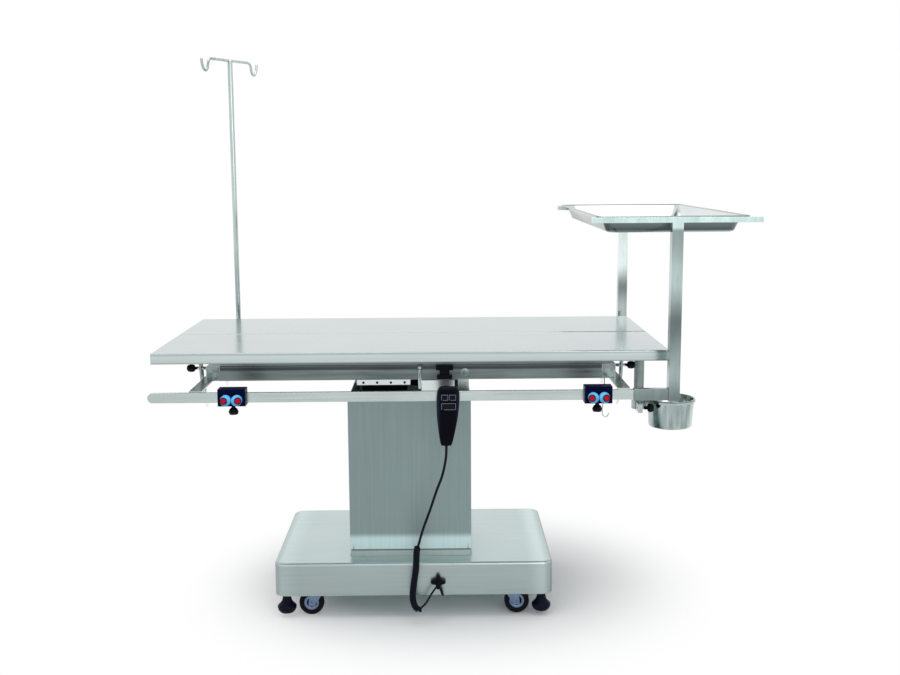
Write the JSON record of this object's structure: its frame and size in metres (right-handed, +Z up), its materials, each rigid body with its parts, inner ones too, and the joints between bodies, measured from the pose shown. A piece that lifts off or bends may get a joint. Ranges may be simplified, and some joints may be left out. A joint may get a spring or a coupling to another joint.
{
  "type": "veterinary operating table",
  "caption": "Veterinary operating table with a folding V-top, electric lifting column, wheeled base, side rails, infusion pole, tray and bucket.",
  "frame": {"origin": "on the floor under the middle of the object's outer box", "axes": "+Z up, +X towards the tail end with the tray, -Y is the handset side"},
  "size_m": [1.499, 0.9921, 1.529],
  "materials": {
    "satin_steel": "satin brushed stainless",
    "brushed_steel": "fine brushed stainless",
    "polished_steel": "polished stainless",
    "zinc_steel": "bright zinc plate",
    "wheel_rubber": "matt moulded",
    "black_plastic": "moulded",
    "navy_plastic": "moulded",
    "blue_plastic": "moulded",
    "handset_plastic": "fine moulded grain",
    "cord_rubber": "matt"
  },
  "bodies": {
    "base": {"base_cover": "satin_steel", "chassis": "zinc_steel", "inner_column": "satin_steel", "lift_actuator_tube": "black_plastic", "cord_socket": "black_plastic", "cord_lower_lead": "cord_rubber", "cord_coil": "cord_rubber"},
    "carriage": {"column_cover": "satin_steel", "column_head": "zinc_steel", "lift_actuator_rod": "polished_steel", "tilt_actuator": "black_plastic"},
    "tilt_rod": {"tilt_actuator_rod": "polished_steel"},
    "frame": {"tilt_shaft": "zinc_steel", "frame_beam_front": "polished_steel", "frame_beam_rear": "polished_steel", "frame_end_head": "polished_steel", "frame_end_tail": "polished_steel", "seam_spine": "brushed_steel", "hinge_rod": "polished_steel", "rail_front": "brushed_steel", "rail_rear": "brushed_steel", "handset": "handset_plastic", "cord_upper_lead": "cord_rubber"},
    "leaf_front": {"leaf_front": "brushed_steel"},
    "leaf_rear": {"leaf_rear": "brushed_steel"},
    "cleat_head": {"cleat_block_head": "navy_plastic"},
    "cleat_tail": {"cleat_block_tail": "navy_plastic"},
    "cleat_knob_head": {"cleat_knob_head": "black_plastic"},
    "cleat_knob_tail": {"cleat_knob_tail": "black_plastic"},
    "pole_clamp": {"pole_clamp": "black_plastic"},
    "pole_knob": {"pole_knob": "black_plastic"},
    "infusion_pole": {"infusion_pole": "brushed_steel"},
    "tray_stand": {"tray_stand_front": "brushed_steel", "tray_stand_rear": "brushed_steel"},
    "tray": {"instrument_tray": "polished_steel"},
    "bucket_bracket": {"bucket_bracket": "brushed_steel"},
    "bucket_knob": {"bucket_knob": "black_plastic"},
    "bucket": {"bucket": "polished_steel"},
    "rocker_lift": {"handset_rocker_lift": "black_plastic"},
    "rocker_tilt": {"handset_rocker_tilt": "black_plastic"},
    "caster_front_left": {"caster_fork_front_left": "zinc_steel"},
    "wheel_front_left": {"caster_wheel_front_left": "wheel_rubber"},
    "foot_front_left": {"levelling_foot_front_left": "black_plastic"},
    "quadrant_knob_front_left": {"quadrant_knob_front_left": "black_plastic"},
    "caster_front_right": {"caster_fork_front_right": "zinc_steel"},
    "wheel_front_right": {"caster_wheel_front_right": "wheel_rubber"},
    "foot_front_right": {"levelling_foot_front_right": "black_plastic"},
    "quadrant_knob_front_right": {"quadrant_knob_front_right": "black_plastic"},
    "caster_rear_left": {"caster_fork_rear_left": "zinc_steel"},
    "wheel_rear_left": {"caster_wheel_rear_left": "wheel_rubber"},
    "foot_rear_left": {"levelling_foot_rear_left": "black_plastic"},
    "quadrant_knob_rear_left": {"quadrant_knob_rear_left": "black_plastic"},
    "caster_rear_right": {"caster_fork_rear_right": "zinc_steel"},
    "wheel_rear_right": {"caster_wheel_rear_right": "wheel_rubber"},
    "foot_rear_right": {"levelling_foot_rear_right": "black_plastic"},
    "quadrant_knob_rear_right": {"quadrant_knob_rear_right": "black_plastic"},
    "cam_head_left": {"cleat_cam_head_left": "blue_plastic"},
    "cam_head_right": {"cleat_cam_head_right": "blue_plastic"},
    "cam_tail_left": {"cleat_cam_tail_left": "blue_plastic"},
    "cam_tail_right": {"cleat_cam_tail_right": "blue_plastic"}
  },
  "joints": [
    {"name": "lift", "type": "slide", "parent": "base", "child": "carriage", "axis": [0, 0, 1], "range_m": [0, 0.3]},
    {"name": "tilt", "type": "hinge", "parent": "carriage", "child": "frame", "pos_m": [0.0382, -0.05597, 0.6735], "axis": [0, 1, 0], "range_deg": [-12, 12]},
    {"name": "tilt_push", "type": "slide", "parent": "carriage", "child": "tilt_rod", "axis": [1, 0, 0], "range_m": [-0.0151, 0.0151]},
    {"name": "front_leaf_raise", "type": "hinge", "parent": "frame", "child": "leaf_front", "pos_m": [-0.0995, -0.05597, 0.73], "axis": [-1, 0, 0], "range_deg": [0, 25]},
    {"name": "rear_leaf_raise", "type": "hinge", "parent": "frame", "child": "leaf_rear", "pos_m": [-0.0995, -0.05597, 0.73], "axis": [1, 0, 0], "range_deg": [0, 25]},
    {"name": "caster_swivel_front_left", "type": "hinge", "parent": "base", "child": "caster_front_left", "pos_m": [-0.3565, -0.24597, 0.08], "axis": [0, 0, 1], "continuous": true},
    {"name": "wheel_roll_front_left", "type": "hinge", "parent": "caster_front_left", "child": "wheel_front_left", "pos_m": [-0.3765, -0.24597, 0.0335], "axis": [0, 1, 0], "continuous": true},
    {"name": "foot_screw_front_left", "type": "slide", "parent": "base", "child": "foot_front_left", "axis": [0, 0, -1], "range_m": [0, 0.011]},
    {"name": "quadrant_clamp_front_left", "type": "hinge", "parent": "frame", "child": "quadrant_knob_front_left", "pos_m": [-0.6595, -0.26203, 0.68015], "axis": [-1, 0, 0], "range_deg": [0, 180]},
    {"name": "caster_swivel_front_right", "type": "hinge", "parent": "base", "child": "caster_front_right", "pos_m": [0.1575, -0.24597, 0.08], "axis": [0, 0, 1], "continuous": true},
    {"name": "wheel_roll_front_right", "type": "hinge", "parent": "caster_front_right", "child": "wheel_front_right", "pos_m": [0.1775, -0.24597, 0.0335], "axis": [0, 1, 0], "continuous": true},
    {"name": "foot_screw_front_right", "type": "slide", "parent": "base", "child": "foot_front_right", "axis": [0, 0, -1], "range_m": [0, 0.011]},
    {"name": "quadrant_clamp_front_right", "type": "hinge", "parent": "frame", "child": "quadrant_knob_front_right", "pos_m": [0.4605, -0.26203, 0.68015], "axis": [1, 0, 0], "range_deg": [0, 180]},
    {"name": "caster_swivel_rear_left", "type": "hinge", "parent": "base", "child": "caster_rear_left", "pos_m": [-0.3565, 0.13403, 0.08], "axis": [0, 0, 1], "continuous": true},
    {"name": "wheel_roll_rear_left", "type": "hinge", "parent": "caster_rear_left", "child": "wheel_rear_left", "pos_m": [-0.3765, 0.13403, 0.0335], "axis": [0, 1, 0], "continuous": true},
    {"name": "foot_screw_rear_left", "type": "slide", "parent": "base", "child": "foot_rear_left", "axis": [0, 0, -1], "range_m": [0, 0.011]},
    {"name": "quadrant_clamp_rear_left", "type": "hinge", "parent": "frame", "child": "quadrant_knob_rear_left", "pos_m": [-0.6595, 0.15009, 0.68015], "axis": [-1, 0, 0], "range_deg": [0, 180]},
    {"name": "caster_swivel_rear_right", "type": "hinge", "parent": "base", "child": "caster_rear_right", "pos_m": [0.1575, 0.13403, 0.08], "axis": [0, 0, 1], "continuous": true},
    {"name": "wheel_roll_rear_right", "type": "hinge", "parent": "caster_rear_right", "child": "wheel_rear_right", "pos_m": [0.1775, 0.13403, 0.0335], "axis": [0, 1, 0], "continuous": true},
    {"name": "foot_screw_rear_right", "type": "slide", "parent": "base", "child": "foot_rear_right", "axis": [0, 0, -1], "range_m": [0, 0.011]},
    {"name": "quadrant_clamp_rear_right", "type": "hinge", "parent": "frame", "child": "quadrant_knob_rear_right", "pos_m": [0.4605, 0.15009, 0.68015], "axis": [1, 0, 0], "range_deg": [0, 180]},
    {"name": "cleat_slide_head", "type": "slide", "parent": "frame", "child": "cleat_head", "axis": [1, 0, 0], "range_m": [-0.035, 0.4]},
    {"name": "cleat_clamp_head", "type": "hinge", "parent": "cleat_head", "child": "cleat_knob_head", "pos_m": [-0.5315, -0.45597, 0.61], "axis": [0, 0, -1], "range_deg": [0, 180]},
    {"name": "cam_head_left", "type": "hinge", "parent": "cleat_head", "child": "cam_head_left", "pos_m": [-0.549, -0.48597, 0.6393], "axis": [0, -1, 0], "range_deg": [0, 40], "stiffness_Nm_per_rad": 0.08},
    {"name": "cam_head_right", "type": "hinge", "parent": "cleat_head", "child": "cam_head_right", "pos_m": [-0.514, -0.48597, 0.6393], "axis": [0, 1, 0], "range_deg": [0, 40], "stiffness_Nm_per_rad": 0.08},
    {"name": "cleat_slide_tail", "type": "slide", "parent": "frame", "child": "cleat_tail", "axis": [1, 0, 0], "range_m": [-0.28, 0.014]},
    {"name": "cleat_clamp_tail", "type": "hinge", "parent": "cleat_tail", "child": "cleat_knob_tail", "pos_m": [0.3595, -0.45597, 0.61], "axis": [0, 0, -1], "range_deg": [0, 180]},
    {"name": "cam_tail_left", "type": "hinge", "parent": "cleat_tail", "child": "cam_tail_left", "pos_m": [0.342, -0.48597, 0.6393], "axis": [0, -1, 0], "range_deg": [0, 40], "stiffness_Nm_per_rad": 0.08},
    {"name": "cam_tail_right", "type": "hinge", "parent": "cleat_tail", "child": "cam_tail_right", "pos_m": [0.377, -0.48597, 0.6393], "axis": [0, 1, 0], "range_deg": [0, 40], "stiffness_Nm_per_rad": 0.08},
    {"name": "pole_clamp_slide", "type": "slide", "parent": "frame", "child": "pole_clamp", "axis": [1, 0, 0], "range_m": [-0.055, 0]},
    {"name": "pole_clamp_screw", "type": "hinge", "parent": "pole_clamp", "child": "pole_knob", "pos_m": [-0.6585, 0.39903, 0.641], "axis": [0, 1, 0], "range_deg": [0, 180]},
    {"name": "pole_height", "type": "slide", "parent": "pole_clamp", "child": "infusion_pole", "axis": [0, 0, 1], "range_m": [-0.3, 0.05]},
    {"name": "tray_stand_slide", "type": "slide", "parent": "frame", "child": "tray_stand", "axis": [1, 0, 0], "range_m": [0, 0.05]},
    {"name": "tray_lift_off", "type": "slide", "parent": "tray_stand", "child": "tray", "axis": [0, 0, 1], "range_m": [0, 0.12]},
    {"name": "bucket_height", "type": "slide", "parent": "frame", "child": "bucket_bracket", "axis": [0, 0, 1], "range_m": [0, 0.12]},
    {"name": "bucket_clamp_screw", "type": "hinge", "parent": "bucket_bracket", "child": "bucket_knob", "pos_m": [0.5405, -0.10997, 0.532], "axis": [1, 0, 0], "range_deg": [0, 180]},
    {"name": "bucket_lift_out", "type": "slide", "parent": "bucket_bracket", "child": "bucket", "axis": [0, 0, 1], "range_m": [0, 0.12]},
    {"name": "rocker_lift", "type": "hinge", "parent": "frame", "child": "rocker_lift", "pos_m": [-0.0055, -0.48897, 0.643], "axis": [0, 0, 1], "range_deg": [-3, 3], "stiffness_Nm_per_rad": 0.06},
    {"name": "rocker_tilt", "type": "hinge", "parent": "frame", "child": "rocker_tilt", "pos_m": [-0.0055, -0.48897, 0.62], "axis": [0, 0, 1], "range_deg": [-3, 3], "stiffness_Nm_per_rad": 0.06}
  ],
  "couplings": [
    {"joint": "tilt_push", "follows": "tilt", "m_per_rad": -0.0705}
  ]
}
